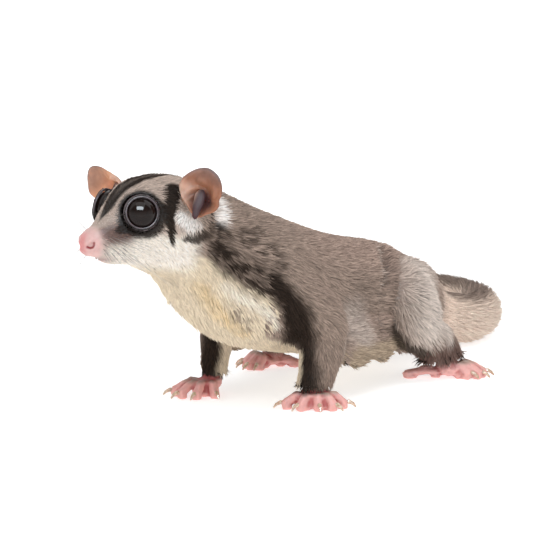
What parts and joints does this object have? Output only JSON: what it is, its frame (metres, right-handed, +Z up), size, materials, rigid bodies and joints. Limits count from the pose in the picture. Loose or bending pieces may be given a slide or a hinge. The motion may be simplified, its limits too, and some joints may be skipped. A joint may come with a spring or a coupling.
{
  "type": "sugar glider",
  "caption": "Life-size model of a sugar glider standing on all fours, head raised and turned, cupped ears out, gliding skin folded on its flanks, long tail curled on the floor.",
  "frame": {"origin": "the middle of the bounding box's bottom face, on the floor that the animal stands on", "axes": "the animal faces -Y, its left side is +X, and +Z is up"},
  "size_m": [0.1234, 0.2136, 0.0765],
  "materials": {
    "grey_fur": "short dense grizzled grey-brown fur with a dark stripe down the head and back",
    "dark_fur": "short dark brown fur, pale on its inner side",
    "cream_fur": "soft cream fur along the folded gliding skin",
    "tail_fur": "long soft buff-grey fur, darker towards the tip",
    "pink_skin": "bare soft pink skin with fine creases",
    "ear_skin": "thin bare brown-pink skin, light shows through it",
    "eye": "wet glossy black",
    "claw": "pale translucent horn"
  },
  "bodies": {
    "root": {"head": "grey_fur", "nose": "pink_skin", "eye_left": "eye", "eye_right": "eye", "ear_left": "ear_skin", "ear_right": "ear_skin", "neck": "grey_fur", "torso": "grey_fur", "membrane_left": "cream_fur", "membrane_right": "cream_fur", "upper_arm_left": "grey_fur", "upper_arm_right": "grey_fur", "forearm_left": "dark_fur", "forearm_right": "dark_fur", "hand_left": "pink_skin", "hand_right": "pink_skin", "thigh_left": "grey_fur", "thigh_right": "grey_fur", "shin_left": "dark_fur", "shin_right": "dark_fur", "foot_left": "pink_skin", "foot_right": "pink_skin", "tail_1": "tail_fur", "tail_2": "tail_fur", "tail_3": "tail_fur", "tail_4": "tail_fur", "claw_hand_left_1": "claw", "claw_hand_left_2": "claw", "claw_hand_left_3": "claw", "claw_hand_left_4": "claw", "claw_hand_left_5": "claw", "claw_hand_right_1": "claw", "claw_hand_right_2": "claw", "claw_hand_right_3": "claw", "claw_hand_right_4": "claw", "claw_hand_right_5": "claw", "claw_foot_left_2": "claw", "claw_foot_left_3": "claw", "claw_foot_left_4": "claw", "claw_foot_left_5": "claw", "claw_foot_right_2": "claw", "claw_foot_right_3": "claw", "claw_foot_right_4": "claw", "claw_foot_right_5": "claw"}
  },
  "joints": []
}
